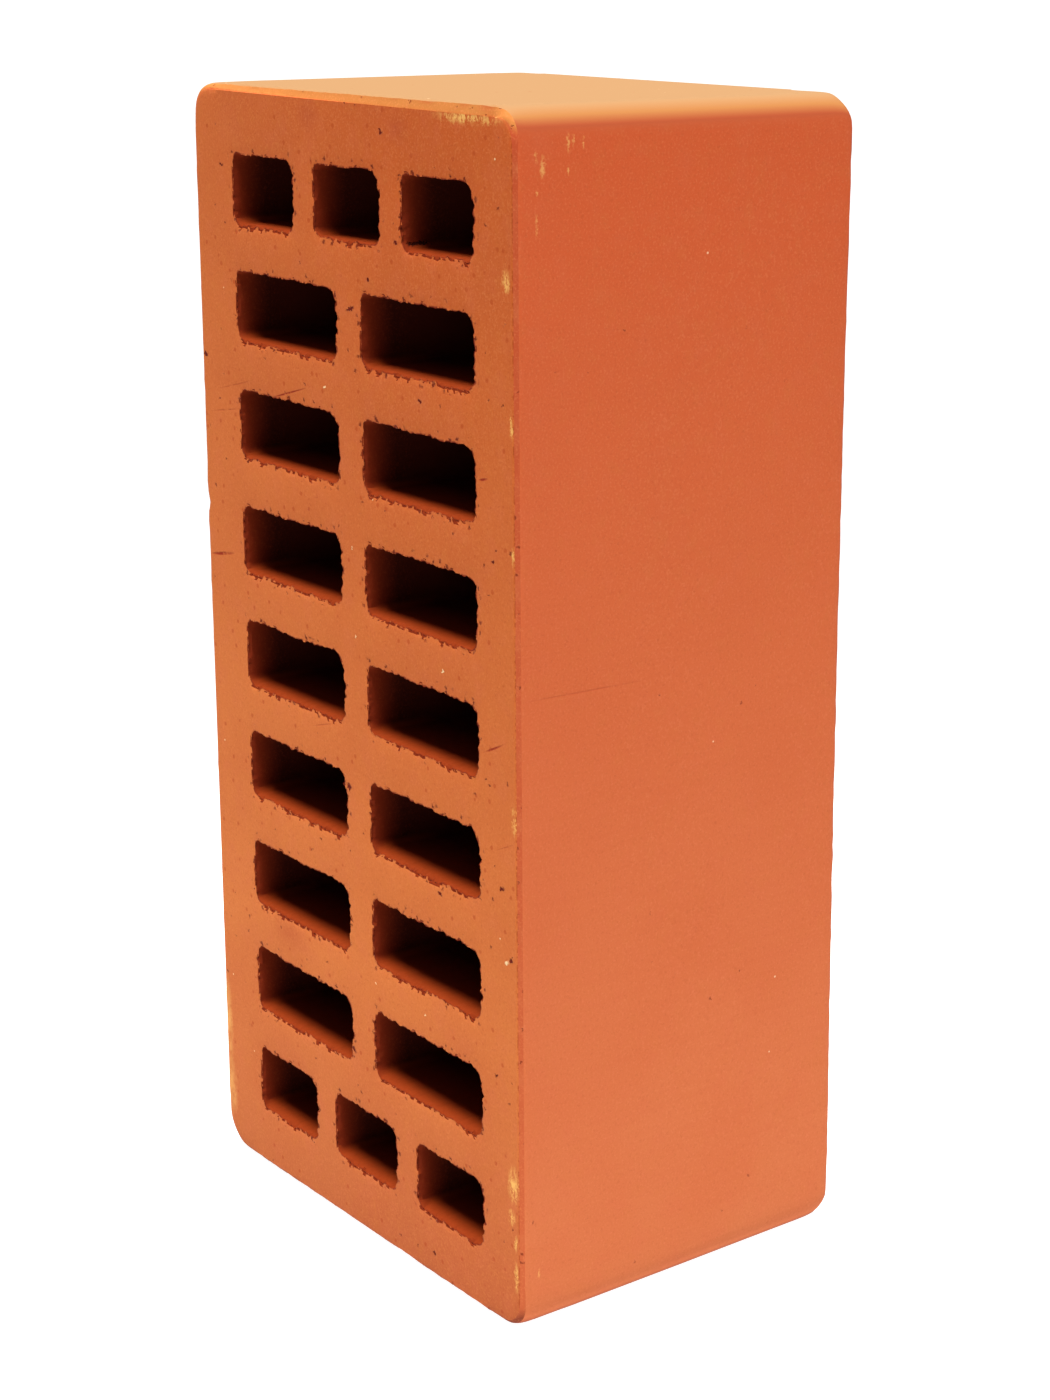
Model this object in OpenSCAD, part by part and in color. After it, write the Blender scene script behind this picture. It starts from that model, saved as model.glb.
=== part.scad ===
// Perforated clay facing brick, one solid of fired clay with rows of core holes.
// The clay is pushed through a die along Y and cut by a wire, so every hole runs
// straight through from one cut face (-Y) to the other (+Y).
// Frame: millimetres, +Z up. The brick stands on one short end, origin at the
// middle of that end. X runs across the width, Z along the length.

/* [Brick] */
// length of the brick, the upright size here
brick_l = 250; // [190:1:320]
// width of the brick, across the rows of holes
brick_w = 120; // [85:1:180]
// thickness between the two wire-cut faces, the height of a course in a wall
brick_t = 86; // [50:1:140]
// radius of the four edges that the die rounds, along the thickness
corner_r = 6; // [2.5:0.5:12]
// width of the small chamfer that the cutting wire and handling leave round each cut face
arris = 1; // [0.5:0.1:2]

/* [Core holes] */
// height of every hole, along the brick's length
hole_h = 14.6; // [8:0.2:20]
// radius in the corners of every hole
hole_r = 2.2; // [0.6:0.1:3.8]
// number of full-width rows between the two end rows
main_rows = 7; // [2:1:8]
// number of wide holes in each full-width row
main_cols = 2; // [1:1:4]
// number of short holes in each end row
end_cols = 3; // [1:1:5]
// shift of the whole pattern of holes across the width, from an off-centre core in the die
core_shift = 1.4; // [-3:0.1:3]

/* [Clay between the holes] */
// clay left between the end rows and the brick's ends
end_wall = 14.7; // [8:0.1:24]
// clay left between the rows and the brick's long sides, before the shift
side_wall = 15.7; // [8:0.1:22]
// clay left between an end row and the row next to it
end_row_web = 10.4; // [5:0.1:16]
// clay left between two wide holes in a row
main_web = 10.4; // [5:0.1:18]
// clay left between two short holes in an end row
end_web = 9.2; // [5:0.1:14]

/* [Hidden] */
$fn = 64;
// how far each cutter runs past the cut faces
past = 1;
// height of the middle of the brick
mid_z = brick_l / 2;
// width that each row of holes takes up
row_w = brick_w - 2 * side_wall;
main_hole_w = (row_w - (main_cols - 1) * main_web) / main_cols;
end_hole_w = (row_w - (end_cols - 1) * end_web) / end_cols;
// rows measured from the brick's middle
end_row_z = brick_l / 2 - end_wall - hole_h / 2;
first_main_z = end_row_z - hole_h - end_row_web;
main_pitch = 2 * first_main_z / (main_rows - 1);

// rounded outline in the X-Z plane, centred, drawn flat for an extrusion along Y
module rounded_outline(w, h, r) {
  square([w - 2 * r, h], center = true);
  square([w, h - 2 * r], center = true);
  for (sx = [-1, 1], sy = [-1, 1])
    translate([sx * (w / 2 - r), sy * (h / 2 - r)])
      circle(r = r);
}

// half section of one thickness of the brick, chamfered at both cut faces
module chamfered_section(half) {
  polygon([
    [-half, -brick_t / 2 + arris],
    [-half + arris, -brick_t / 2],
    [half - arris, -brick_t / 2],
    [half, -brick_t / 2 + arris],
    [half, brick_t / 2 - arris],
    [half - arris, brick_t / 2],
    [-half + arris, brick_t / 2],
    [-half, brick_t / 2 - arris]
  ]);
}

// rounded corner post along Y, chamfered at both ends
module corner_post() {
  rotate([-90, 0, 0])
    rotate_extrude()
      polygon([
        [0, -brick_t / 2],
        [corner_r - arris, -brick_t / 2],
        [corner_r, -brick_t / 2 + arris],
        [corner_r, brick_t / 2 - arris],
        [corner_r - arris, brick_t / 2],
        [0, brick_t / 2]
      ]);
}

// the clay column's block, before its holes
module block() {
  // full width, without the rounded ends
  translate([0, 0, corner_r])
    linear_extrude(height = brick_l - 2 * corner_r)
      chamfered_section(brick_w / 2);
  // full length, without the rounded sides
  translate([-brick_w / 2 + corner_r, 0, mid_z])
    rotate([90, 0, 90])
      linear_extrude(height = brick_w - 2 * corner_r)
        rotate([0, 0, 90])
          chamfered_section(brick_l / 2);
  for (sx = [-1, 1], sz = [-1, 1])
    translate([sx * (brick_w / 2 - corner_r), 0, mid_z + sz * (brick_l / 2 - corner_r)])
      corner_post();
}

// one core, the shape that leaves a hole right through the clay
module core(w) {
  rotate([90, 0, 0])
    linear_extrude(height = brick_t + 2 * past, center = true)
      rounded_outline(w, hole_h, hole_r);
}

// one row of cores, spread evenly over the width of the row
module core_row(count, w, web) {
  for (i = [0 : count - 1])
    translate([core_shift + (i - (count - 1) / 2) * (w + web), 0, 0])
      core(w);
}

module cores() {
  for (i = [0 : main_rows - 1])
    translate([0, 0, mid_z - first_main_z + i * main_pitch])
      core_row(main_cols, main_hole_w, main_web);
  for (side = [-1, 1])
    translate([0, 0, mid_z + side * end_row_z])
      core_row(end_cols, end_hole_w, end_web);
}

module brick() {
  color([0.72, 0.34, 0.19])
    difference() {
      block();
      cores();
    }
}

brick();
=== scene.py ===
# %% [markdown]
# # A perforated clay facing brick
#
# The brick is one piece of fired clay, 250 mm long, 120 mm wide and 86 mm thick, and it
# stands on its short end. A machine pushes a stiff column of clay through a steel die, which
# leaves four smooth skins and the long tunnels of the core holes. A taut wire then cuts the
# column into bricks. The two cut faces are rougher than the skins, and the wire tears the
# clay a little at the mouth of every hole. The firing turns it all orange-red.
#
# The work goes in that order here: tunnels, block, cut faces, wear, finishes, and then the
# studio around it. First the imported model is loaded, and its size is kept.

# %% Load the frame
import math
import random

import bmesh
import bpy
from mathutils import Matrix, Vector
from mathutils.kdtree import KDTree


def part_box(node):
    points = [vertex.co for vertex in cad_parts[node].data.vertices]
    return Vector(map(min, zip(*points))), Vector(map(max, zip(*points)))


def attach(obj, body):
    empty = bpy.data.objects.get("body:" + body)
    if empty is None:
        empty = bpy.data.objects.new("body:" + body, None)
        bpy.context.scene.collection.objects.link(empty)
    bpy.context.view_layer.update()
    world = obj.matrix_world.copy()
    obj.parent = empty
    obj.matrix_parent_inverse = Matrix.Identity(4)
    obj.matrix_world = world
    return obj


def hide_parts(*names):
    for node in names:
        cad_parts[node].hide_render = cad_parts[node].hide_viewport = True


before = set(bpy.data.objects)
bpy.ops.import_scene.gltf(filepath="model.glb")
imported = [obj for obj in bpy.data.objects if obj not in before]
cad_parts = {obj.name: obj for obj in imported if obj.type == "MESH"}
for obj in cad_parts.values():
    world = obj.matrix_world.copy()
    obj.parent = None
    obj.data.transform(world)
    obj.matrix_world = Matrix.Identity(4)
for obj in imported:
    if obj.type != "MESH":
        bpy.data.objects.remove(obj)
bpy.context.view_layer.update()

MM = 0.001
low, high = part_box("brick")
WIDTH = high[0] - low[0]
THICK = high[1] - low[1]
LENGTH = high[2] - low[2]
FACE = THICK / 2
print("brick", [round(size / MM, 1) for size in (WIDTH, THICK, LENGTH)], "mm")

# %% [markdown]
# ## Where the core holes are
#
# Nine rows of holes run across the width. Seven rows have two wide holes, and the two rows
# at the ends have three short ones. Their places follow from the walls of clay between them,
# as they do in the die, so the list of holes is worked out and not written down.

# %% The pattern of core holes
HOLE_HIGH = 14.6 * MM
END_WALL = 14.7 * MM
SIDE_WALL = 15.7 * MM
END_ROW_WEB = 10.4 * MM
WIDE_WEB = 10.4 * MM
SHORT_WEB = 9.2 * MM
CORE_SHIFT = 1.4 * MM
WIDE_ROWS = 7

row_wide = WIDTH - 2 * SIDE_WALL
wide_hole = (row_wide - WIDE_WEB) / 2
short_hole = (row_wide - 2 * SHORT_WEB) / 3
end_row = LENGTH / 2 - END_WALL - HOLE_HIGH / 2
first_wide_row = end_row - HOLE_HIGH - END_ROW_WEB


def row_of_holes(count, width, web, z):
    """The holes of one row, as (x, z, width) of each."""
    pitch = width + web
    return [(CORE_SHIFT + (i - (count - 1) / 2) * pitch, z, width) for i in range(count)]


holes = []
for i in range(WIDE_ROWS):
    z = LENGTH / 2 - first_wide_row + i * 2 * first_wide_row / (WIDE_ROWS - 1)
    holes += row_of_holes(2, wide_hole, WIDE_WEB, z)
for side in (-1, 1):
    holes += row_of_holes(3, short_hole, SHORT_WEB, LENGTH / 2 + side * end_row)
print(len(holes), "holes,", round(wide_hole / MM, 1), "and", round(short_hole / MM, 1), "mm wide")

# %% [markdown]
# ## Tools for working in edit mode
#
# Most of the shaping is done by the same operators that the menus hold. An operator works on what is
# selected, so each step picks its points, edges or faces by where they are, and then calls one.

# %% Picking things by place
def only(piece):
    """Select this one object and make it active."""
    bpy.ops.object.select_all(action="DESELECT")
    piece.select_set(True)
    bpy.context.view_layer.objects.active = piece


def pick(kind, test):
    """In edit mode, select just the edges or faces ("EDGE" or "FACE") that pass a test, and count them."""
    bpy.ops.mesh.select_mode(type=kind)
    bpy.ops.mesh.select_all(action="DESELECT")
    mesh = bpy.context.edit_object.data
    shape = bmesh.from_edit_mesh(mesh)
    found = [part for part in (shape.edges if kind == "EDGE" else shape.faces) if test(part)]
    for part in found:
        part.select_set(True)
    bmesh.update_edit_mesh(mesh)
    return len(found)


def near(a, b, gap=1e-5):
    return abs(a - b) < gap


def drag(points, move, radius):
    """In edit mode, drag some points, and let the clay within the radius follow them less and less."""
    bpy.ops.mesh.select_mode(type="VERT")
    bpy.ops.mesh.select_all(action="DESELECT")
    for point in points:
        point.select_set(True)
    bpy.ops.transform.translate(value=move, use_proportional_edit=True,
                                proportional_edit_falloff="SMOOTH", proportional_size=radius)


# %% [markdown]
# ## Tubes
#
# Both the tunnels and the brick's four skins are open tubes along Y. A cube loses its two
# ends, its long corners are bevelled round, and its straight sides are divided into narrow
# strips, which later take the tears and the wear. Rings of edges can be cut round a tube
# with bisect, and more rings can be extruded from its open ends.

# %% Making a tube and its rings
def open_tube(name, width, height, depth, centre_z, radii, arc_steps, step):
    """An open tube with rounded corners, its straight sides cut into strips about one step wide.
    radii gives the radius of each corner by the signs of its x and z."""
    bpy.ops.mesh.primitive_cube_add(size=1, location=(0, 0, centre_z))
    tube = bpy.context.object
    tube.name = name
    tube.scale = (width, depth, height)
    bpy.ops.object.transform_apply(location=True, rotation=False, scale=True)
    bpy.ops.object.mode_set(mode="EDIT")
    pick("FACE", lambda face: abs(face.normal.y) > 0.5)
    bpy.ops.mesh.delete(type="ONLY_FACE")
    for (side_x, side_z), radius in radii.items():
        x = side_x * width / 2
        z = centre_z + side_z * height / 2
        pick("EDGE", lambda edge: all(near(v.co.x, x) and near(v.co.z, z) for v in edge.verts))
        bpy.ops.mesh.bevel(offset=radius, segments=arc_steps, affect="EDGES")
    for axis, length in (("x", width), ("z", height)):
        def runs_along(edge):
            return abs(getattr(edge.verts[0].co - edge.verts[1].co, axis)) > 2 * step

        pick("EDGE", lambda edge: edge.is_boundary and runs_along(edge))
        straight = length - 2 * max(radii.values())
        bpy.ops.mesh.subdivide(number_cuts=round(straight / step) - 1)
    return tube


def cut_rings(depths):
    """In edit mode, cut a ring round the tube at each depth below both open ends' planes."""
    for depth in depths:
        for side in (-1, 1):
            bpy.ops.mesh.select_all(action="SELECT")
            bpy.ops.mesh.bisect(plane_co=(0, side * (FACE - depth), 0), plane_no=(0, 1, 0))


def grow_rings(rings, start_y, width, height, centre_z, out):
    """In edit mode, extrude rings from both open ends, which lie at start_y. Each ring is (offset, y):
    how far it lies outside the tube, or inside it where out is -1, and how far from the middle."""
    for side in (-1, 1):
        pick("EDGE", lambda edge: edge.is_boundary and edge.verts[0].co.y * side > 0)
        last_offset = 0
        last_y = start_y
        for offset, y in rings:
            bpy.ops.mesh.extrude_edges_move(TRANSFORM_OT_translate={"value": (0, side * (y - last_y), 0)})
            grow_x = (width + 2 * out * offset) / (width + 2 * out * last_offset)
            grow_z = (height + 2 * out * offset) / (height + 2 * out * last_offset)
            bpy.ops.transform.resize(value=(grow_x, 1, grow_z), center_override=(0, 0, centre_z))
            last_offset = offset
            last_y = y


# %% [markdown]
# ## The two tunnels
#
# Each core hole is a tube with rings of edges near its two mouths, where the clay is torn,
# and long plain strips between. It flares out into a few flat rings on the cut face, so that
# the tear can fade away over them. The steel cores have worn, so each corner has its own
# radius and the right wall bulges a little. A vertex group holds how near each point is to
# the mouth's edge, and an attribute keeps the same number for the finishes.

# %% Make a wide tunnel and a short one
STRIP = 0.5 * MM
MOUTH_DEPTHS = [0.35 * MM, 0.85 * MM, 1.7 * MM, 3.2 * MM]
MOUTH_RINGS = [0.35 * MM, 0.8 * MM, 1.5 * MM, 2.4 * MM]
CORE_CORNERS = {(-1, 1): 1.3 * MM, (1, 1): 2.6 * MM, (-1, -1): 1.7 * MM, (1, -1): 1.5 * MM}
BULGE = 0.55 * MM
REACH = 2.4 * MM


def rims(mesh_shape):
    """The points on the edge of each mouth: on a cut face, with an edge going down the tunnel."""
    on_face = [v for v in mesh_shape.verts if near(abs(v.co.y), FACE)]
    return [v for v in on_face if any(not near(abs(e.other_vert(v).co.y), FACE) for e in v.link_edges)]


def tunnel(name, width):
    tube = open_tube(name, width, HOLE_HIGH, THICK, 0, CORE_CORNERS, 4, STRIP)
    shape = bmesh.from_edit_mesh(tube.data)
    worn = [v for v in shape.verts if near(v.co.x, width / 2) and abs(v.co.z) < STRIP]
    drag(worn, (BULGE, 0, 0), HOLE_HIGH / 2)
    cut_rings(MOUTH_DEPTHS)
    grow_rings([(offset, FACE) for offset in MOUTH_RINGS], FACE, width, HOLE_HIGH, 0, 1)
    bpy.ops.object.mode_set(mode="OBJECT")
    return tube


def mark_mouths(tube):
    """Give each point its nearness to a mouth's edge, from 1 on it to 0 out of reach."""
    shape = bmesh.new()
    shape.from_mesh(tube.data)
    edge_points = rims(shape)
    tree = KDTree(len(edge_points))
    for i, point in enumerate(edge_points):
        tree.insert(point.co, i)
    tree.balance()
    shape.free()
    nearness = [max(0.0, 1 - tree.find(point.co)[2] / REACH) for point in tube.data.vertices]
    group = tube.vertex_groups.new(name="torn")
    for i, share in enumerate(nearness):
        group.add([i], share, "REPLACE")
    for name in ("mouth", "nick"):
        tube.data.attributes.new(name, "FLOAT", "POINT")
    tube.data.attributes["mouth"].data.foreach_set("value", nearness)


models = {wide_hole: tunnel("wide_tunnel", wide_hole), short_hole: tunnel("short_tunnel", short_hole)}
for model in models.values():
    mark_mouths(model)
    print(model.name, len(model.data.polygons), "faces")

# %% [markdown]
# ## Copies with torn mouths
#
# The cutting wire crosses every mouth and plucks crumbs out of its edge. The lower edge gets
# a comb of notches about two millimetres apart, the left edge finer teeth, and the other two
# only a nick here and there. Each notch is one point of the edge dragged away with
# proportional editing, which moves the clay round it too. Every copy has its own mesh and its
# own notches, drawn from one seeded run of random numbers. The deep ones are marked as nicks,
# which the finishes paint dark, as painted shade in the small pit that each one ends in.

# %% Copy the tunnels and nick their mouths
chance = random.Random(12)
# for each edge of a mouth, in mm: the way out of the hole, the least and most spacing, the least
# and most depth
NICKS = [((0, -1), 1.5, 2.8, 0.2, 0.8), ((-1, 0), 1.0, 1.8, 0.2, 0.6),
         ((1, 0), 1.4, 4.0, 0.1, 0.45), ((0, 1), 2.5, 8.0, 0.1, 0.4)]
# notches deeper than this are painted dark later, as painted shade in their pits
DARK_NICK = 0.45 * MM
NICK_REACH = 0.75 * MM
# a notch also slants down into the hole, by this share of its depth
SLANT = 0.3
# a point belongs to an edge where it lies further out than this, the hole's half size being 1
ON_EDGE = 0.86
# the first notch is somewhere in this stretch past a corner, and the last this far before one
FIRST_NICK = (1.2, 2.5)
LAST_NICK = 1.4 * MM


def nick_edge(edge_points, nick_layer, half_width, way, spacing, depth):
    """Drag notches into one edge of a mouth, walking along it by random steps."""
    along = "z" if way[0] else "x"
    reach = half_width if along == "x" else HOLE_HIGH / 2
    side = [v for v in edge_points
            if Vector((v.co.x / half_width, v.co.z / (HOLE_HIGH / 2))).dot(way) > ON_EDGE]
    place = -reach + chance.uniform(*FIRST_NICK) * MM
    while place < reach - LAST_NICK:
        point = min(side, key=lambda v: abs(getattr(v.co, along) - place))
        deep = chance.uniform(*depth) * MM
        sunk = -math.copysign(SLANT * deep, point.co.y)
        drag([point], (way[0] * deep, sunk, way[1] * deep), NICK_REACH + deep)
        if deep > DARK_NICK:
            point[nick_layer] = 1
        place += chance.uniform(*spacing) * MM


def nick_mouths(tube, width):
    bpy.ops.object.mode_set(mode="EDIT")
    shape = bmesh.from_edit_mesh(tube.data)
    nick_layer = shape.verts.layers.float["nick"]
    for side in (-1, 1):
        edge_points = [v for v in rims(shape) if v.co.y * side > 0]
        for way, *numbers in NICKS:
            nick_edge(edge_points, nick_layer, width / 2, way, numbers[:2], numbers[2:])
    bpy.ops.object.mode_set(mode="OBJECT")


tunnels = []
for x, z, width in holes:
    only(models[width])
    bpy.ops.object.duplicate(linked=False)
    copy = bpy.context.object
    nick_mouths(copy, width)
    copy.location = (x, 0, z)
    bpy.ops.object.transform_apply(location=True, rotation=False, scale=False)
    tunnels.append(copy)
for model in models.values():
    bpy.data.objects.remove(model)
print(len(tunnels), "tunnels")

# %% [markdown]
# ## The block round the tunnels
#
# The block's four skins are one more open tube, with the round edges that the die gives it,
# the two on the left rounder than the others. At both ends a narrow flat arris turns the skin
# into the cut face. Vertex groups mark the arris for the wear, and the front upper one for
# growing wider towards the right. The right-hand skin dried a little hollow towards the back,
# so a third group marks it there, to be drawn in by less than a millimetre. The attribute
# "seam" is 1 along the line where the arris meets the cut face, for the finishes.

# %% Make the skins and their arrises
CORNER_R = 6 * MM
SKIN_CORNERS = {(-1, 1): 7 * MM, (1, 1): CORNER_R, (-1, -1): 8.5 * MM, (1, -1): CORNER_R}
ARRIS = 0.85 * MM
SKIN_STRIP = 0.9 * MM
SKIN_RINGS = (0.7 * MM, 2.2 * MM, 4 * MM, 6.5 * MM, 9.5 * MM, 14 * MM)
FACE_RINGS = (0.5 * MM, 1.2 * MM, 2.6 * MM)
# points this near to a skin belong to the arris
RIM = 1.1 * ARRIS
# the wider arris fades away over this much of the skin below it
WIDE_FADE = 1 * MM
HOLLOW = 0.9 * MM

skin = open_tube("brick_clay", WIDTH, LENGTH, THICK - 2 * ARRIS, LENGTH / 2, SKIN_CORNERS, 10, SKIN_STRIP)
cut_rings([ARRIS + depth for depth in SKIN_RINGS] + [FACE])
arris_rings = [(share * ARRIS, FACE - ARRIS + share * ARRIS) for share in (1 / 3, 2 / 3, 1)]
face_rings = [(ARRIS + inset, FACE) for inset in FACE_RINGS]
grow_rings(arris_rings + face_rings, FACE - ARRIS, WIDTH, LENGTH, LENGTH / 2, -1)
bpy.ops.object.mode_set(mode="OBJECT")

worn = skin.vertex_groups.new(name="worn arris")
wide = skin.vertex_groups.new(name="wide arris")
hollow = skin.vertex_groups.new(name="hollow edge")
seam = []
for point in skin.data.vertices:
    x, y, z = point.co
    down_arris = (abs(y) - (FACE - ARRIS)) / ARRIS
    on_face = near(abs(y), FACE)
    from_top = LENGTH - z
    inset = min(WIDTH / 2 - abs(x), z, from_top)
    if down_arris > -0.1 and inset < RIM:
        worn.add([point.index], 1.0, "REPLACE")
    if y < 0 and down_arris > 0 and from_top < ARRIS + WIDE_FADE:
        fade = 1 - max(0.0, from_top - ARRIS) / WIDE_FADE
        wide.add([point.index], down_arris * fade * (0.5 + x / WIDTH), "REPLACE")
    if x > 0 and y > -FACE / 2:
        middle = 1 - (2 * z / LENGTH - 1) ** 2
        depth = (y + FACE / 2) / (1.5 * FACE)
        hollow.add([point.index], middle * depth * (2 * x / WIDTH) ** 8, "REPLACE")
    seam.append(float(on_face and inset < RIM))
skin.data.attributes.new("seam", "FLOAT", "POINT")
skin.data.attributes["seam"].data.foreach_set("value", seam)
print("skins", len(skin.data.polygons), "faces")

# %% [markdown]
# ## One closed surface
#
# The skins and the tunnels are joined into one mesh. What is still open is the flat clay of
# the two cut faces, between the arris and the mouths, and fill closes it. Before any wear
# bends the surface, each face gets its finish by the way it points.

# %% Join, fill and divide the surface by finish
only(skin)
for piece in tunnels:
    piece.select_set(True)
bpy.ops.object.join()
clay = bpy.context.object
clay.name = "fired_clay_brick"

bpy.ops.object.mode_set(mode="EDIT")
for side in (-1, 1):
    pick("EDGE", lambda edge: edge.is_boundary and edge.verts[0].co.y * side > 0)
    bpy.ops.mesh.fill(use_beauty=True)
bpy.ops.mesh.select_all(action="SELECT")
bpy.ops.mesh.normals_make_consistent(inside=False)

clay.data.materials.clear()
SURFACES = ["die-smoothed clay skin", "wire-cut clay face", "rubbed clay arris", "core hole clay wall with painted shade"]
for name in SURFACES:
    clay.data.materials.append(bpy.data.materials.new(name))


def outside(face):
    """Whether a face lies at the rim of the block, out past the core holes."""
    x, y, z = face.calc_center_median()
    return abs(x) > WIDTH / 2 - CORNER_R or not CORNER_R < z < LENGTH - CORNER_R


tests = [lambda face: outside(face),
         lambda face: abs(face.normal.y) > 0.99,
         lambda face: outside(face) and 0.1 < abs(face.normal.y) <= 0.99,
         lambda face: not outside(face) and abs(face.normal.y) <= 0.99]
for i, test in enumerate(tests):
    found = pick("FACE", test)
    clay.active_material_index = i
    bpy.ops.object.material_slot_assign()
    print(SURFACES[i], found, "faces")
open_edges = pick("EDGE", lambda edge: not edge.is_manifold)
bpy.ops.object.mode_set(mode="OBJECT")
print("open edges", open_edges)

# %% [markdown]
# ## Wear
#
# Displace modifiers push points by a cloud pattern, as far as a vertex group lets them. The
# first three pull the mouths' edges to and fro in the plane of the cut face, in a long wave
# and in short rags. The next three pluck clay away and hardly ever add it, so their middle
# level is 1 or just below, and the brick stays inside its size. The last two have no pattern:
# one lets the upper arris grow wider towards a corner, and one draws in the hollow edge.

# %% Displace the mouths and the arrises
def push(name, group, direction, strength, middle=0.0, size=None, depth=2):
    """Move the points of a vertex group along an axis or their normals, and apply it."""
    modifier = clay.modifiers.new(name, "DISPLACE")
    modifier.direction = direction
    modifier.strength = strength
    modifier.mid_level = middle
    modifier.vertex_group = group
    if size:
        texture = bpy.data.textures.new(name, "CLOUDS")
        texture.noise_scale = size
        texture.noise_depth = depth
        modifier.texture = texture
        modifier.texture_coords = "LOCAL"
    bpy.ops.object.modifier_apply(modifier=name)


only(clay)
push("wavy edge", "torn", "Z", 0.9 * MM, 0.5, 7 * MM)
push("ragged edge upright", "torn", "Z", 0.8 * MM, 0.5, 1.3 * MM, 3)
push("ragged edge across", "torn", "X", 1.1 * MM, 0.5, 1.1 * MM, 3)
push("plucked mouth", "torn", "NORMAL", 0.3 * MM, 1.0, 0.9 * MM, 1)
push("rubbed arris", "worn arris", "NORMAL", 0.35 * MM, 0.95, 5 * MM)
push("grainy arris", "worn arris", "NORMAL", 0.2 * MM, 0.95, 0.8 * MM)
push("widened arris", "wide arris", "Z", -1.5 * MM)
push("drawn-in edge", "hollow edge", "X", -HOLLOW)
print("size after the wear", [round(size / MM, 1) for size in clay.dimensions], "mm")

# %% [markdown]
# ## Rubbed corners
#
# A brick's corners take the most knocks. Bevels would meet there in flat facets, so each
# corner is cut back to an egg shape instead. The egg meets the brick's edges where its
# reaches end, and a Smooth modifier blends it into the faces.

# %% Cut the corners back to an egg shape
# each rubbed corner by the signs of its x, y and z: how far it reaches along x, y and z, in mm
RUBBED = {(1, -1, -1): (11, 10, 9), (1, 1, -1): (11, 14, 11),
          (1, -1, 1): (6, 6, 6), (1, 1, 1): (17, 7, 10),
          (-1, -1, -1): (12, 10, 11), (-1, 1, -1): (12, 12, 11),
          (-1, -1, 1): (10, 8, 9), (-1, 1, 1): (14, 8, 11)}
rubbed = clay.vertex_groups.new(name="rubbed corners")
for signs, reaches in RUBBED.items():
    inward = [-sign * reach * MM for sign, reach in zip(signs, reaches)]
    corner = Vector((signs[0] * WIDTH / 2, signs[1] * FACE, (signs[2] + 1) * LENGTH / 2))
    centre = corner + Vector(inward)
    for point in clay.data.vertices:
        away = Vector([(centre[i] - point.co[i]) / inward[i] for i in range(3)])
        if min(away) > -0.1:
            rubbed.add([point.index], 1.0, "REPLACE")
            kept = min(1, math.sqrt(2) / away.length)
            point.co = centre + kept * (point.co - centre)
blend = clay.modifiers.new("blended corners", "SMOOTH")
blend.factor = 0.5
blend.iterations = 8
blend.vertex_group = rubbed.name
bpy.ops.object.modifier_apply(modifier=blend.name)
print(len(RUBBED), "corners rubbed round")

# %% [markdown]
# ## Chips
#
# Three small chips are missing from the front's left edge, and one crumb was plucked out of
# the web beside a hole. Each is one point dragged into the clay, like the notches. At the end
# the whole brick is shaded smooth, except across its sharp edges.

# %% Drag in the chips and shade the brick
# each chip's x and z: which way the clay moved, in mm
CHIPS = {(-60, 213): (1.0, 0.5, 0), (-60, 183): (0.9, 0.4, 0), (-60, 157): (0.7, 0.4, 0),
         (-3.7, 103.7): (-1.2, 0.1, 0)}
CHIP_REACH = 1.5 * MM
bpy.ops.object.mode_set(mode="EDIT")
shape = bmesh.from_edit_mesh(clay.data)
front = [v for v in shape.verts if v.co.y < -FACE + ARRIS]
for (x, z), move in CHIPS.items():
    place = Vector((x * MM, -FACE, z * MM))
    point = min(front, key=lambda v: (v.co - place).length)
    drag([point], MM * Vector(move), CHIP_REACH)
bpy.ops.object.mode_set(mode="OBJECT")
bpy.ops.object.shade_smooth_by_angle(angle=math.radians(24))
clay.data.calc_loop_triangles()
print("brick", len(clay.data.loop_triangles), "triangles")

# %% [markdown]
# ## Into the frame
#
# The brick is one piece and moves with nothing, so the new mesh rides on the root body and
# takes the plain solid's place.

# %% Stand the new mesh in for the plain solid
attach(clay, "root")
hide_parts("brick")

# %% [markdown]
# ## Tools for the finishes
#
# The four finishes are one fired clay whose surface was made in four ways. They read Object
# coordinates, turned into millimetres first, so that each pattern's size is a real one. Three
# patterns come back in all of them: soft patches from a noise, small round dots from Voronoi
# cells, and marks at listed places, such as one scratch. A shaken copy of the coordinates
# gives the dots and marks ragged outlines, as in torn clay.

# %% Colours and nodes
def hex_colour(code):
    """An sRGB hex colour as linear red, green, blue and alpha."""
    parts = [int(code[i:i + 2], 16) / 255 for i in (1, 3, 5)]
    return [p / 12.92 if p <= 0.04045 else ((p + 0.055) / 1.055) ** 2.4 for p in parts] + [1]


def in_use(sockets, name=None):
    """The first socket that is in use, or the one with this name."""
    return next(s for s in sockets if s.enabled and name in (None, s.name))


def add(tree, kind, sockets, **settings):
    """Add a node with its settings, and give each named or numbered socket a value or a link."""
    node = tree.nodes.new("ShaderNode" + kind)
    for name, value in settings.items():
        setattr(node, name, value)
    for key, value in sockets.items():
        socket = node.inputs[key] if isinstance(key, int) else in_use(node.inputs, key)
        if isinstance(value, bpy.types.Node):
            value = in_use(value.outputs)
        if isinstance(value, bpy.types.NodeSocket):
            tree.links.new(value, socket)
        else:
            socket.default_value = value
    return node


# %% [markdown]
# ## Patterns of the clay
#
# Sizes and places are in millimetres here. Every pattern comes back as a factor from 0, where
# it is absent, to its most.

# %% Patterns
def patches(tree, where, size, first, last, most=1.0, detail=2.0):
    """Soft patches about one size across. The noise counts from first, and is full at last."""
    noise = add(tree, "TexNoise", {"Vector": where, "Scale": 1 / size, "Detail": detail})
    return add(tree, "MapRange", {"Value": noise, "From Min": first, "From Max": last, "To Max": most})


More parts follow.
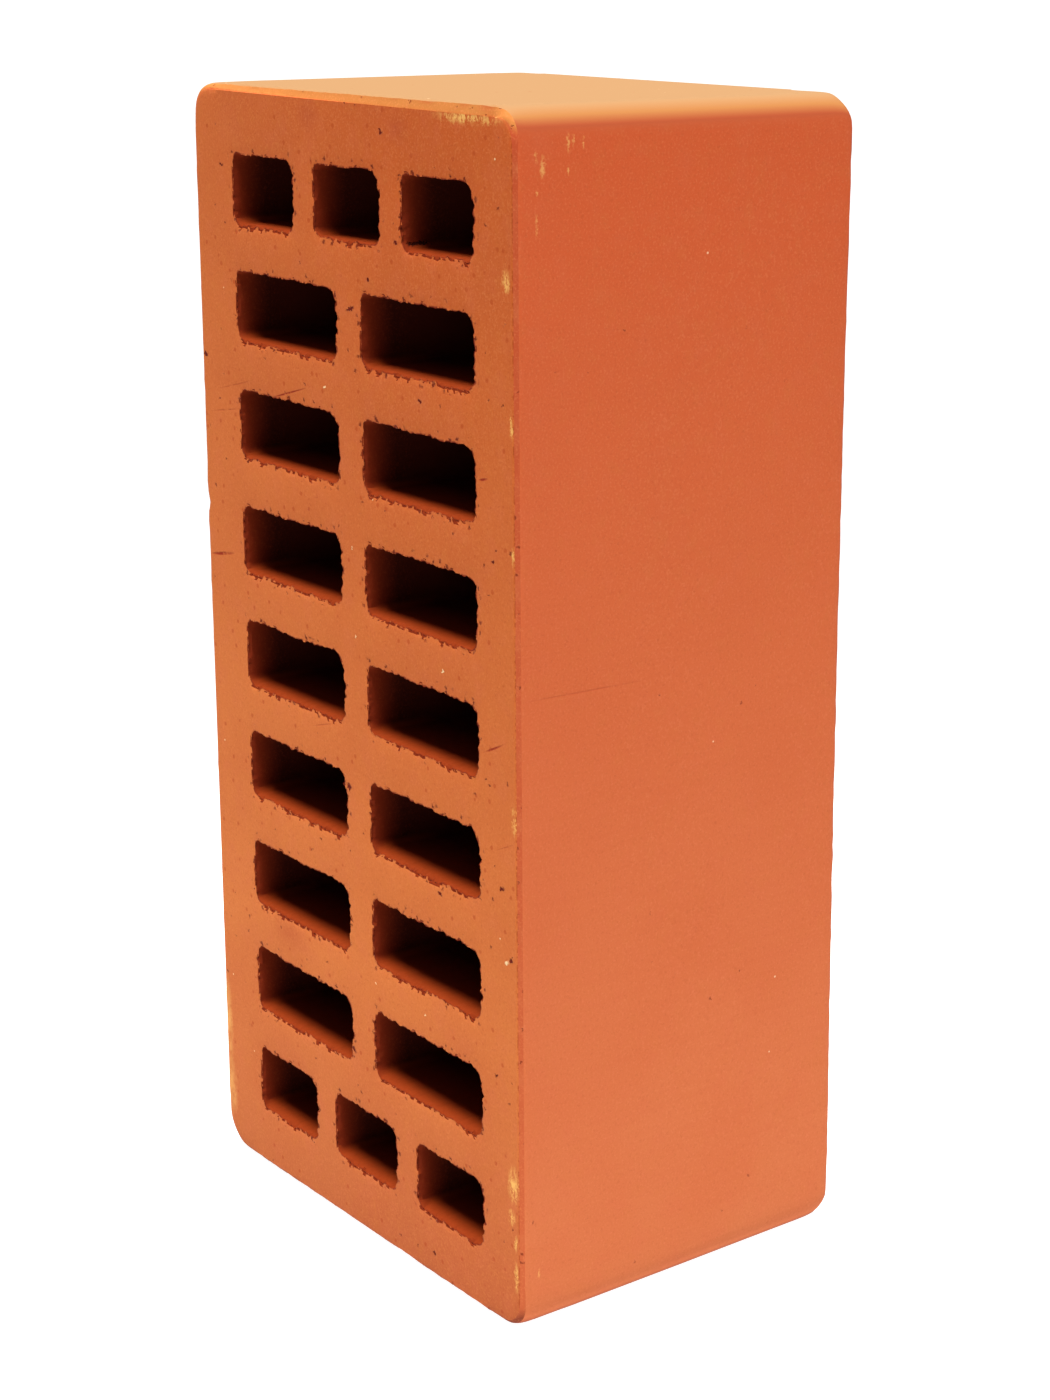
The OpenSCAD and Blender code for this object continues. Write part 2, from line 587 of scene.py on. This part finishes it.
def dots(tree, where, spacing, radius, most=1.0):
    """Round dots scattered one to a cell."""
    cells = add(tree, "TexVoronoi", {"Vector": where, "Scale": 1 / spacing})
    return add(tree, "MapRange", {"Value": cells.outputs["Distance"], "From Min": radius / spacing,
                                  "From Max": 0.6 * radius / spacing, "To Max": most})


def marks(tree, where, side, places, soft=0.5, most=1.0, below=0, reach=3):
    """Oval marks on the front ("front") or the right-hand skin ("right"). Each place is (across, z,
    half width, half height, turn in degrees), in mm and measured on that side. A front mark's
    middle can lie below the cut face, and it reaches that far before and behind it."""
    total = 0.0
    for across, z, half_width, half_height, *turn in places:
        angle = math.radians(turn[0]) if turn else 0
        if side == "front":
            centre = (across, below - FACE / MM, z)
            half = (half_width, reach, half_height)
            turned = (0, -angle, 0)
        else:
            centre = (WIDTH / 2 / MM, across, z)
            half = (3, half_width, half_height)
            turned = (angle, 0, 0)
        oval = add(tree, "Mapping", {"Vector": where, "Location": centre, "Rotation": turned,
                                     "Scale": half}, vector_type="TEXTURE")
        away = add(tree, "VectorMath", {0: oval}, operation="LENGTH")
        mark = add(tree, "MapRange", {"Value": away, "From Min": 1, "From Max": soft, "To Max": most})
        total = add(tree, "Math", {0: mark, 1: total}, operation="MAXIMUM")
    return total


def start_finish(name):
    """Start one of the clay's finishes: its tree, its place in mm, a shaken copy of that place, and
    the place's x, y and z."""
    material = bpy.data.materials[name]
    material.use_nodes = True
    tree = material.node_tree
    place = add(tree, "TexCoord", {}).outputs["Object"]
    mm = add(tree, "VectorMath", {0: place, 1: (1 / MM,) * 3}, operation="MULTIPLY")
    shake = add(tree, "TexNoise", {"Vector": mm, "Scale": 1 / 0.6, "Detail": 1}, normalize=False)
    ragged = add(tree, "VectorMath", {0: shake.outputs["Color"], 1: (0.45,) * 3, 2: mm},
                 operation="MULTIPLY_ADD")
    parts = add(tree, "SeparateXYZ", {"Vector": mm})
    return tree, mm, ragged, parts.outputs


def paler_foot_painted_light(tree, height, foot, top):
    """One colour at the foot of the brick, turning slowly into another at the top. The paler foot is painted
    light, for the glow of the table below.
    """
    up = add(tree, "MapRange", {"Value": height, "From Max": LENGTH / MM})
    return add(tree, "Mix", {"Factor": up, "A": hex_colour(foot), "B": hex_colour(top)}, data_type="RGBA")


def facing_up(tree):
    """How far the surface faces up: 1 on top, 0 on the sides and -1 below."""
    normal = add(tree, "NewGeometry", {}).outputs["Normal"]
    return add(tree, "SeparateXYZ", {"Vector": normal}).outputs["Z"]


def paint(tree, below, factor, colour, **settings):
    """Lay a colour over what is below, as far as a factor says."""
    return add(tree, "Mix", {"Factor": factor, "A": below, "B": hex_colour(colour)},
               data_type="RGBA", **settings)


def add_up(tree, heights):
    """The sum of some heights in mm, each (factor, height)."""
    total = 0.0
    for factor, height in heights:
        total = add(tree, "Math", {0: factor, 1: height, 2: total}, operation="MULTIPLY_ADD")
    return total


def finish_clay(tree, colour, roughness, heights, shine=0.12):
    """Wire a colour, a roughness and a relief in mm into the clay's shader."""
    # unglazed clay is porous, so it reflects far less than a smooth stone of the same IOR
    shader = tree.nodes["Principled BSDF"]
    shader.inputs["Specular IOR Level"].default_value = shine
    shader.inputs["IOR"].default_value = 1.5
    bump = add(tree, "Bump", {"Height": add_up(tree, heights), "Distance": MM})
    tree.links.new(in_use(colour.outputs), shader.inputs["Base Color"])
    tree.links.new(in_use(roughness.outputs), shader.inputs["Roughness"])
    tree.links.new(bump.outputs["Normal"], shader.inputs["Normal"])
    print(len(tree.nodes), "nodes")


# %% [markdown]
# ## The wire-cut faces
#
# The wire leaves a dull, slightly open surface. Its orange is a little browner than the
# skins', deeper near the top and paler near the bottom, where the paler foot is painted light for
# the glow of the table below. Close up it has a fine sandy grain, pinker and yellower patches a
# few millimetres wide, pits where grains were plucked out, painted dark as painted shade inside
# them, more of them near the mouths, and a few cream crumbs of lime.
# Handling left some scratches, and salts dried to an ochre bloom along the edges.

# %% Wire-cut clay face: marks at listed places
SCRATCHES = [(-22.8, 186.2, 8.8, 0.26, 15), (-53.2, 145.7, 5.8, 0.5, 10), (51.5, 124.9, 4.2, 0.3, 25),
             (49, 178.7, 1.8, 0.35, 12)]
FAINT_SCRATCHES = [(-44.4, 185.3, 8.2, 0.26, 14), (-49.2, 179, 7.8, 0.26, 9.5),
                   (55.2, 105.3, 4, 0.22, 25), (-12.1, 115, 6.4, 0.24, 16)]
PITS = [(-2.2, 103.5, 1.1, 0.9), (2.5, 206.8, 1.7, 0.45, 15), (15, 243.2, 1.1, 0.5, -40),
        (19.8, 221.8, 0.9, 0.5), (-57.5, 190.6, 0.9, 0.6), (-48, 232.8, 0.8, 0.4), (9.5, 213.2, 0.6, 0.5),
        (27.5, 191.1, 0.7, 0.5), (52, 162.8, 0.6, 0.4), (54, 96.3, 1.0, 0.5, 15), (32, 89, 0.8, 0.5),
        (57.2, 81.9, 0.7, 0.5), (51.6, 55.2, 0.7, 0.4), (-2.8, 42.6, 1.0, 0.6), (28, 5.8, 0.8, 0.5)]
CRUMBS = [(55.6, 81, 0.8, 0.5, 30), (34.2, 137.1, 0.5, 0.35), (1.8, 137.6, 0.4, 0.3),
          (1.2, 156.6, 0.35, 0.3), (-8, 189.5, 0.6, 0.35), (6.8, 61.2, 0.4, 0.3), (26, 60, 0.4, 0.3)]
BLOOM = [(45, 247.3, 13, 1.5), (57, 217.5, 1.6, 2.8), (58.4, 190.5, 0.6, 3.6), (58.6, 165, 0.5, 2.4),
         (58.4, 111.5, 0.9, 3.6), (57.3, 33, 2.2, 5), (56.6, 25.6, 1.3, 2.2), (58.1, 20, 0.7, 2.2),
         (58.1, 12.5, 0.8, 4)]
PALE_EDGE = [(-58.2, 30, 2.4, 15), (-57.5, 14, 2.8, 9)]
BLOTCHES = [(-12, 245, 5, 4), (21, 244, 5, 4), (-28, 62, 9, 5)]
print(len(SCRATCHES + FAINT_SCRATCHES), "scratches,", len(PITS), "pits,", len(CRUMBS), "crumbs")

# %% [markdown]
# The face's colour is laid in from the broadest change to the finest: from foot to top, with a
# paler foot that is painted light, towards the left, soft patches, a few blotches, and the sandy grain last.

# %% Wire-cut clay face: its colour and grain
tree, mm, ragged, parts = start_finish("wire-cut clay face")
mouth = add(tree, "Attribute", {}, attribute_name="mouth").outputs["Fac"]
nick = add(tree, "Attribute", {}, attribute_name="nick").outputs["Fac"]
seam = add(tree, "Attribute", {}, attribute_name="seam").outputs["Fac"]

# painted light: paler towards the foot, for the glow of the table below
colour = paler_foot_painted_light(tree, parts["Z"], "#CA7239", "#BA5522")
foot = add(tree, "MapRange", {"Value": parts["Z"], "From Min": 60, "From Max": 0})
left = add(tree, "MapRange", {"Value": parts["X"], "From Min": 20, "From Max": -60, "To Max": 0.3})
colour = paint(tree, colour, foot, "#B35A30")
colour = paint(tree, colour, left, "#CF7942")
colour = paint(tree, colour, patches(tree, mm, 26, 0.42, 0.68, 0.3), "#B4562B")
colour = paint(tree, colour, patches(tree, mm, 4.5, 0.5, 0.72, 0.22), "#C4643F")
colour = paint(tree, colour, patches(tree, ragged, 3.1, 0.52, 0.75, 0.2), "#C06D2C")
colour = paint(tree, colour, marks(tree, ragged, "front", BLOTCHES, 0.2, 0.35), "#A8482A")
# the sand in the clay is about 0.2 mm, drawn at twice that so that it shows
light_grain = patches(tree, mm, 0.45, 0.5, 0.78, 0.26, 1)
dark_grain = patches(tree, ragged, 0.5, 0.52, 0.8, 0.28, 1)
colour = paint(tree, colour, light_grain, "#D9854C")
colour = paint(tree, colour, dark_grain, "#93300F")

# %% [markdown]
# Next come the salts, a painted shade along the mouths for the shadows of the torn edge's
# crumbs, and a darker line along the seam, where the attributes "mouth" and "seam" say how near
# those edges are. A noise breaks both up.

# %% Wire-cut clay face: salts and torn edges
# the salts dried in short upright streaks
upright = add(tree, "VectorMath", {0: ragged, 1: (1, 1, 0.4)}, operation="MULTIPLY")
bloom = add(tree, "Math", {0: marks(tree, ragged, "front", BLOOM, 0.3),
                           1: patches(tree, upright, 0.8, 0.4, 0.6)}, operation="MULTIPLY")
pale_edge = add(tree, "Math", {0: marks(tree, ragged, "front", PALE_EDGE, 0.1, 0.9),
                               1: patches(tree, mm, 3, 0.3, 0.55)}, operation="MULTIPLY")
colour = paint(tree, colour, pale_edge, "#DFA05A")
colour = paint(tree, colour, bloom, "#E3AA5C")
# painted shade of the torn crumbs along the mouths, and a darker line along the seam of the arris
near_mouth = add(tree, "MapRange", {"Value": mouth, "From Min": 0.03, "From Max": 0.5})
torn = add(tree, "MapRange", {"Value": mouth, "From Min": 0.8, "From Max": 0.93, "To Max": 0.95})
torn = add(tree, "Math", {0: torn, 1: patches(tree, mm, 0.8, 0.4, 0.52)}, operation="MULTIPLY")
dash = add(tree, "MapRange", {"Value": seam, "From Min": 0.35, "From Max": 0.8, "To Max": 0.75})
dash = add(tree, "Math", {0: dash, 1: patches(tree, mm, 1.1, 0.45, 0.58)}, operation="MULTIPLY")
colour = paint(tree, colour, torn, "#76200B")
colour = paint(tree, colour, dash, "#963813")

# %% [markdown]
# Pits, scratches and crumbs are the smallest things on the face. They also go into the
# relief, as heights in millimetres, so that the light catches them.

# %% Wire-cut clay face: pits, scratches and crumbs
# red grains of iron, and pits all over with many more small ones near the mouths; pits and deep nicks are
# painted dark, as painted shade inside them
iron = dots(tree, mm, 4.2, 0.62, 0.45)
wide_shaded_pits = dots(tree, ragged, 5.5, 0.4, 0.65)
shaded_pits_near_mouth = add(tree, "Math", {0: dots(tree, ragged, 2.3, 0.55, 0.85), 1: near_mouth},
                 operation="MULTIPLY")
shaded_pits = add(tree, "Math", {0: wide_shaded_pits, 1: shaded_pits_near_mouth}, operation="MAXIMUM")
shaded_pits = add(tree, "Math", {0: shaded_pits, 1: marks(tree, ragged, "front", PITS, 0.6)}, operation="MAXIMUM")
shaded_nicks = add(tree, "MapRange", {"Value": nick, "From Min": 0.35, "From Max": 0.65, "To Max": 0.9})
shaded_pits = add(tree, "Math", {0: shaded_pits, 1: shaded_nicks}, operation="MAXIMUM")
scratched = add(tree, "Math", {0: marks(tree, mm, "front", SCRATCHES, 0.4),
                               1: marks(tree, mm, "front", FAINT_SCRATCHES, 0.3, 0.35)},
                operation="MAXIMUM")
scratched = add(tree, "Math", {0: scratched, 1: patches(tree, mm, 1.5, 0.3, 0.5)},
                operation="MULTIPLY")
colour = paint(tree, colour, iron, "#A2360F")
colour = paint(tree, colour, scratched, "#8C2A10")
colour = paint(tree, colour, shaded_pits, "#641505")
crumbs = add(tree, "Math", {0: dots(tree, mm, 9, 0.26, 0.8),
                            1: marks(tree, ragged, "front", CRUMBS, 0.5)}, operation="MAXIMUM")
colour = paint(tree, colour, crumbs, "#EBCB98")

rough = add(tree, "MapRange", {"Value": bloom, "To Min": 0.86, "To Max": 0.95})
finish_clay(tree, colour, rough, [(light_grain, 0.05), (dark_grain, -0.06), (shaded_pits, -0.3),
                                  (scratched, -0.12), (crumbs, 0.1), (torn, -0.1), (dash, -0.1)])

# %% [markdown]
# ## The die-smoothed skins
#
# Steel has smoothed these four sides, so they are finer, redder and a little less dull than
# the cut faces. The clay slid along the die, which draws very faint streaks along Y. There
# are few pits, painted dark as painted shade inside them. The colour also follows the way the
# surface faces: where the edges turn upwards they are first browner, a painted shade, and then
# more ochre, and the upper end is paler, both painted highlight of the light from above. What
# faces down, such as the foot that the brick stands on, is darker, a painted shade. The
# right-hand skin has some short ochre flecks near its upper corner and one long faint crack.

# %% Die-smoothed clay skin
FLECKS = [(-30.5, 243, 0.5, 2.2), (-29.4, 243.4, 0.3, 1.4), (-27, 243.2, 0.4, 1.5), (-36.5, 238.6, 0.8, 2.8),
          (-38, 240.6, 0.35, 1.4), (-30.4, 238.2, 0.35, 1.3), (-38, 228, 0.4, 2.6), (-38, 234, 0.3, 0.7),
          (-38.6, 13, 0.35, 1.4)]
LONG_CRACK = [(-27, 135.8, 17, 0.28, -1)]

tree, mm, ragged, parts = start_finish("die-smoothed clay skin")
# painted light: paler towards the foot, for the glow of the table below
colour = paler_foot_painted_light(tree, parts["Z"], "#C96E42", "#C9552B")
colour = paint(tree, colour, patches(tree, mm, 30, 0.42, 0.68, 0.25), "#C35A31")
colour = paint(tree, colour, patches(tree, mm, 5, 0.5, 0.75, 0.22), "#CA6340")
colour = paint(tree, colour, patches(tree, ragged, 3.4, 0.52, 0.78, 0.22), "#C46A35")
drawn = add(tree, "VectorMath", {0: mm, 1: (1, 0.05, 1)}, operation="MULTIPLY")
streaks = patches(tree, drawn, 1.4, 0.45, 0.75, 0.08, 3)
colour = paint(tree, colour, streaks, "#B84F2B")
light_grain = patches(tree, mm, 0.5, 0.52, 0.8, 0.28, 1)
dark_grain = patches(tree, ragged, 0.55, 0.54, 0.82, 0.28, 1)
colour = paint(tree, colour, light_grain, "#DC8258")
colour = paint(tree, colour, dark_grain, "#A3431F")

# painted light and shade by the way the surface faces: a browner painted shade that keeps the edge turning
# up as dark as the side, painted highlight colours on the rest of the rounded edge and on the upper end, and
# painted shade on what faces down
facing = facing_up(tree)
painted_roundover_shade = add(tree, "MapRange", {"Value": facing, "From Max": 0.34})
painted_roundover_highlight = add(tree, "MapRange", {"Value": facing, "From Min": 0.38, "From Max": 0.68})
painted_top_light = add(tree, "MapRange", {"Value": facing, "From Min": 0.69, "From Max": 1.0})
painted_shade_below = add(tree, "MapRange", {"Value": facing, "From Min": -0.5, "From Max": -0.95})
colour = paint(tree, colour, painted_roundover_shade, "#9B4626")
colour = paint(tree, colour, painted_roundover_highlight, "#986233")
colour = paint(tree, colour, painted_top_light, "#8C6945")
colour = paint(tree, colour, painted_shade_below, "#8A3A1E")
cracked = add(tree, "Math", {0: marks(tree, mm, "right", LONG_CRACK, 0.3, 0.3),
                             1: patches(tree, mm, 3, 0.3, 0.45)}, operation="MULTIPLY")
colour = paint(tree, colour, cracked, "#A03C22")
# pits painted dark, as painted shade inside them
shaded_pits = dots(tree, ragged, 9, 0.4, 0.7)
colour = paint(tree, colour, shaded_pits, "#8E3A20")
flecks = add(tree, "Math", {0: marks(tree, ragged, "right", FLECKS, 0.2, 0.8),
                            1: patches(tree, ragged, 0.9, 0.35, 0.55)}, operation="MULTIPLY")
crumbs = dots(tree, mm, 11, 0.3, 0.8)
colour = paint(tree, colour, flecks, "#DE9C58")
colour = paint(tree, colour, crumbs, "#EFC79C")

rough = add(tree, "MapRange", {"Value": streaks, "To Min": 0.78, "To Max": 0.9})
finish_clay(tree, colour, rough, [(light_grain, 0.02), (streaks, -0.02), (shaded_pits, -0.15),
                                  (cracked, -0.08), (crumbs, 0.05)])

# %% [markdown]
# ## The rubbed arrises
#
# The narrow arris is darker and redder than both sides of it, with small pits painted dark as
# painted shade inside them. It is paler where it faces up, a painted highlight of the light
# from above, and darker where it faces down, a painted shade.

# %% Rubbed clay arris
tree, mm, ragged, parts = start_finish("rubbed clay arris")
# painted light: paler towards the foot, for the glow of the table below
colour = paler_foot_painted_light(tree, parts["Z"], "#BC5A33", "#B64A27")
colour = paint(tree, colour, patches(tree, mm, 6, 0.45, 0.7, 0.5), "#C2663C")
# painted highlight colour where the arris faces up, and painted shade where it faces down
facing = facing_up(tree)
painted_top_light = add(tree, "MapRange", {"Value": facing, "From Min": 0.13, "From Max": 0.35, "To Max": 0.9})
painted_shade_below = add(tree, "MapRange", {"Value": facing, "From Min": -0.1, "From Max": -0.5})
colour = paint(tree, colour, painted_top_light, "#AA6A30")
colour = paint(tree, colour, painted_shade_below, "#7E351B")
light_grain = patches(tree, mm, 0.45, 0.5, 0.78, 0.3, 1)
colour = paint(tree, colour, light_grain, "#D98250")
# pits painted dark, as painted shade inside them
shaded_pits = dots(tree, ragged, 2.6, 0.4, 0.7)
colour = paint(tree, colour, shaded_pits, "#74270F")
rough = add(tree, "MapRange", {"Value": light_grain, "To Min": 0.8, "To Max": 0.9})
finish_clay(tree, colour, rough, [(light_grain, 0.03), (shaded_pits, -0.2)])

# %% [markdown]
# ## The core holes' walls
#
# The steel cores drag the clay inside, which leaves faint streaks along the tunnels. The
# walls' colour is mostly painted shade, for the dark inside of the tunnels. At a mouth they are
# a deep red-brown, darker right at the edge, and more orange at the bottom, a painted light
# where light falls on the sill. Within a few millimetres they turn much darker, and further in
# they are an even dull brown, both painted shade of the depth. The upper right hole has a crack
# along its lower left corner.

# %% Core hole clay wall, with painted shade
CORNER_CRACK = [(22.9, 221.7, 1.6, 0.4)]
# how deep the first painted darkening ends, and where the even brown of the deeper painted shade begins and
# is full
SHADED = 8
DEEP_SHADE_STARTS = 3
DEEP_SHADE_FULL = 17

tree, mm, ragged, parts = start_finish("core hole clay wall with painted shade")
mouth = add(tree, "Attribute", {}, attribute_name="mouth").outputs["Fac"]
nick = add(tree, "Attribute", {}, attribute_name="nick").outputs["Fac"]
from_middle = add(tree, "Math", {0: parts["Y"]}, operation="ABSOLUTE")
deep = add(tree, "MapRange", {"Value": from_middle, "From Min": FACE / MM - DEEP_SHADE_STARTS,
                              "From Max": FACE / MM - DEEP_SHADE_FULL})
# painted light: the upward-facing floor of each tunnel is more orange, where light falls on the sill
painted_top_light = add(tree, "MapRange", {"Value": facing_up(tree), "From Min": 0.2, "From Max": 0.8})
# painted shade: the walls are a darker copy of the clay, darkening further with depth from a mouth
shade = add(tree, "MapRange", {"Value": from_middle, "From Min": FACE / MM - 1,
                               "From Max": FACE / MM - SHADED})
colour = add(tree, "Mix", {"Factor": shade, "A": hex_colour("#78260F"), "B": hex_colour("#2E0D06")},
             data_type="RGBA")
colour = paint(tree, colour, painted_top_light, "#903611")
drawn = add(tree, "VectorMath", {0: mm, 1: (1, 0.12, 1)}, operation="MULTIPLY")
streaks = patches(tree, drawn, 0.9, 0.42, 0.7, 0.12, 3)
colour = paint(tree, colour, streaks, "#5A1E0C")
grain = patches(tree, ragged, 0.5, 0.5, 0.8, 0.25, 1)
colour = paint(tree, colour, grain, "#96401A")
# painted shade just inside the mouth's edge
near_mouth = add(tree, "MapRange", {"Value": mouth, "From Max": 0.9, "To Max": 0.35})
colour = paint(tree, colour, near_mouth, "#6B240F")
# painted shade of the depth: an even dull brown further in
colour = paint(tree, colour, deep, "#4F1A0F")
cracked = marks(tree, ragged, "front", CORNER_CRACK, 0.6, 0.95, 3.6, 3.6)
colour = paint(tree, colour, cracked, "#280905")
# painted shade of the torn crumbs at the mouth's edge
torn = add(tree, "MapRange", {"Value": mouth, "From Min": 0.8, "From Max": 0.95, "To Max": 0.7})
torn = add(tree, "Math", {0: torn, 1: patches(tree, mm, 0.8, 0.38, 0.55)}, operation="MULTIPLY")
colour = paint(tree, colour, torn, "#6B240F")
# deep nicks painted dark, as painted shade in their pits
shaded_pits = add(tree, "MapRange", {"Value": nick, "From Min": 0.35, "From Max": 0.65, "To Max": 0.9})
colour = paint(tree, colour, shaded_pits, "#3F1208")
rough = add(tree, "MapRange", {"Value": streaks, "To Min": 0.85, "To Max": 0.95})
heights = [(streaks, -0.1), (grain, 0.06), (torn, -0.1), (cracked, -0.3)]
finish_clay(tree, colour, rough, heights, shine=0.05)

# %% [markdown]
# ## The studio
#
# The brick stands on a table of opal acrylic that is lit from below around its middle, as
# small products often are. That gives a plain white ground with hardly a shadow, and it
# brightens the lower half of the brick. The key light is one very soft sun, nearly overhead,
# which makes the upper end the brightest side and lights only the front of each hole's sill.
# The room itself is dim, so that the holes stay dark, and the camera sees it as plain white.

# %% Table, lights and room
# the table glows fully this near to the brick's foot, and least from this far on, in metres
GLOW_NEAR = 0.12
GLOW_FAR = 0.6

bpy.ops.mesh.primitive_plane_add(size=60, location=(0, 0, 0))
floor = bpy.context.object
floor.name = "floor"
acrylic = bpy.data.materials.new("lit opal acrylic")
acrylic.use_nodes = True
floor.data.materials.append(acrylic)
tree = acrylic.node_tree
from_brick = add(tree, "VectorMath", {0: add(tree, "TexCoord", {}).outputs["Object"]}, operation="LENGTH")
glow = add(tree, "MapRange", {"Value": from_brick, "From Min": GLOW_NEAR, "From Max": GLOW_FAR,
                              "To Min": 1.0, "To Max": 0.2}, interpolation_type="SMOOTHSTEP")
table = tree.nodes["Principled BSDF"]
table.inputs["Base Color"].default_value = hex_colour("#8E8E8E")
table.inputs["Roughness"].default_value = 0.9
table.inputs["Emission Color"].default_value = hex_colour("#FFFFFF")
tree.links.new(in_use(glow.outputs), table.inputs["Emission Strength"])

bpy.ops.object.light_add(type="SUN")
key = bpy.context.object
key.name = "key light"
key.data.energy = 10.5
key.data.angle = math.radians(36)
key.rotation_euler = (math.radians(5), 0, math.radians(45))

room = bpy.data.worlds.new("dim white room")
room.use_nodes = True
bpy.context.scene.world = room
tree = room.node_tree
seen = add(tree, "LightPath", {}).outputs["Is Camera Ray"]
strength = add(tree, "MapRange", {"Value": seen, "To Min": 0.10, "To Max": 1.0})
tree.nodes["Background"].inputs["Color"].default_value = hex_colour("#FFFFFF")
tree.links.new(in_use(strength.outputs), tree.nodes["Background"].inputs["Strength"])
bpy.context.scene.view_settings.view_transform = "Standard"

# %% [markdown]
# ## The camera
#
# It looks a little down on the brick from the front right, so that the front cut face, the
# right-hand skin and a sliver of the upper end show.

# %% Camera
CAMERA_PLACE = (463.1 * MM, -334.6 * MM, 278.7 * MM)
CAMERA_TILT = math.radians(75.603)
CAMERA_TURN = math.radians(51.812)
CAMERA_ROLL = math.radians(0.185)

bpy.ops.object.camera_add(location=CAMERA_PLACE, rotation=(CAMERA_TILT, 0, CAMERA_TURN))
camera = bpy.context.object
camera.rotation_euler.rotate_axis("Z", CAMERA_ROLL)
camera.data.lens = 68.45
camera.data.shift_x = -0.0688
camera.data.shift_y = -0.0503
bpy.context.scene.camera = camera
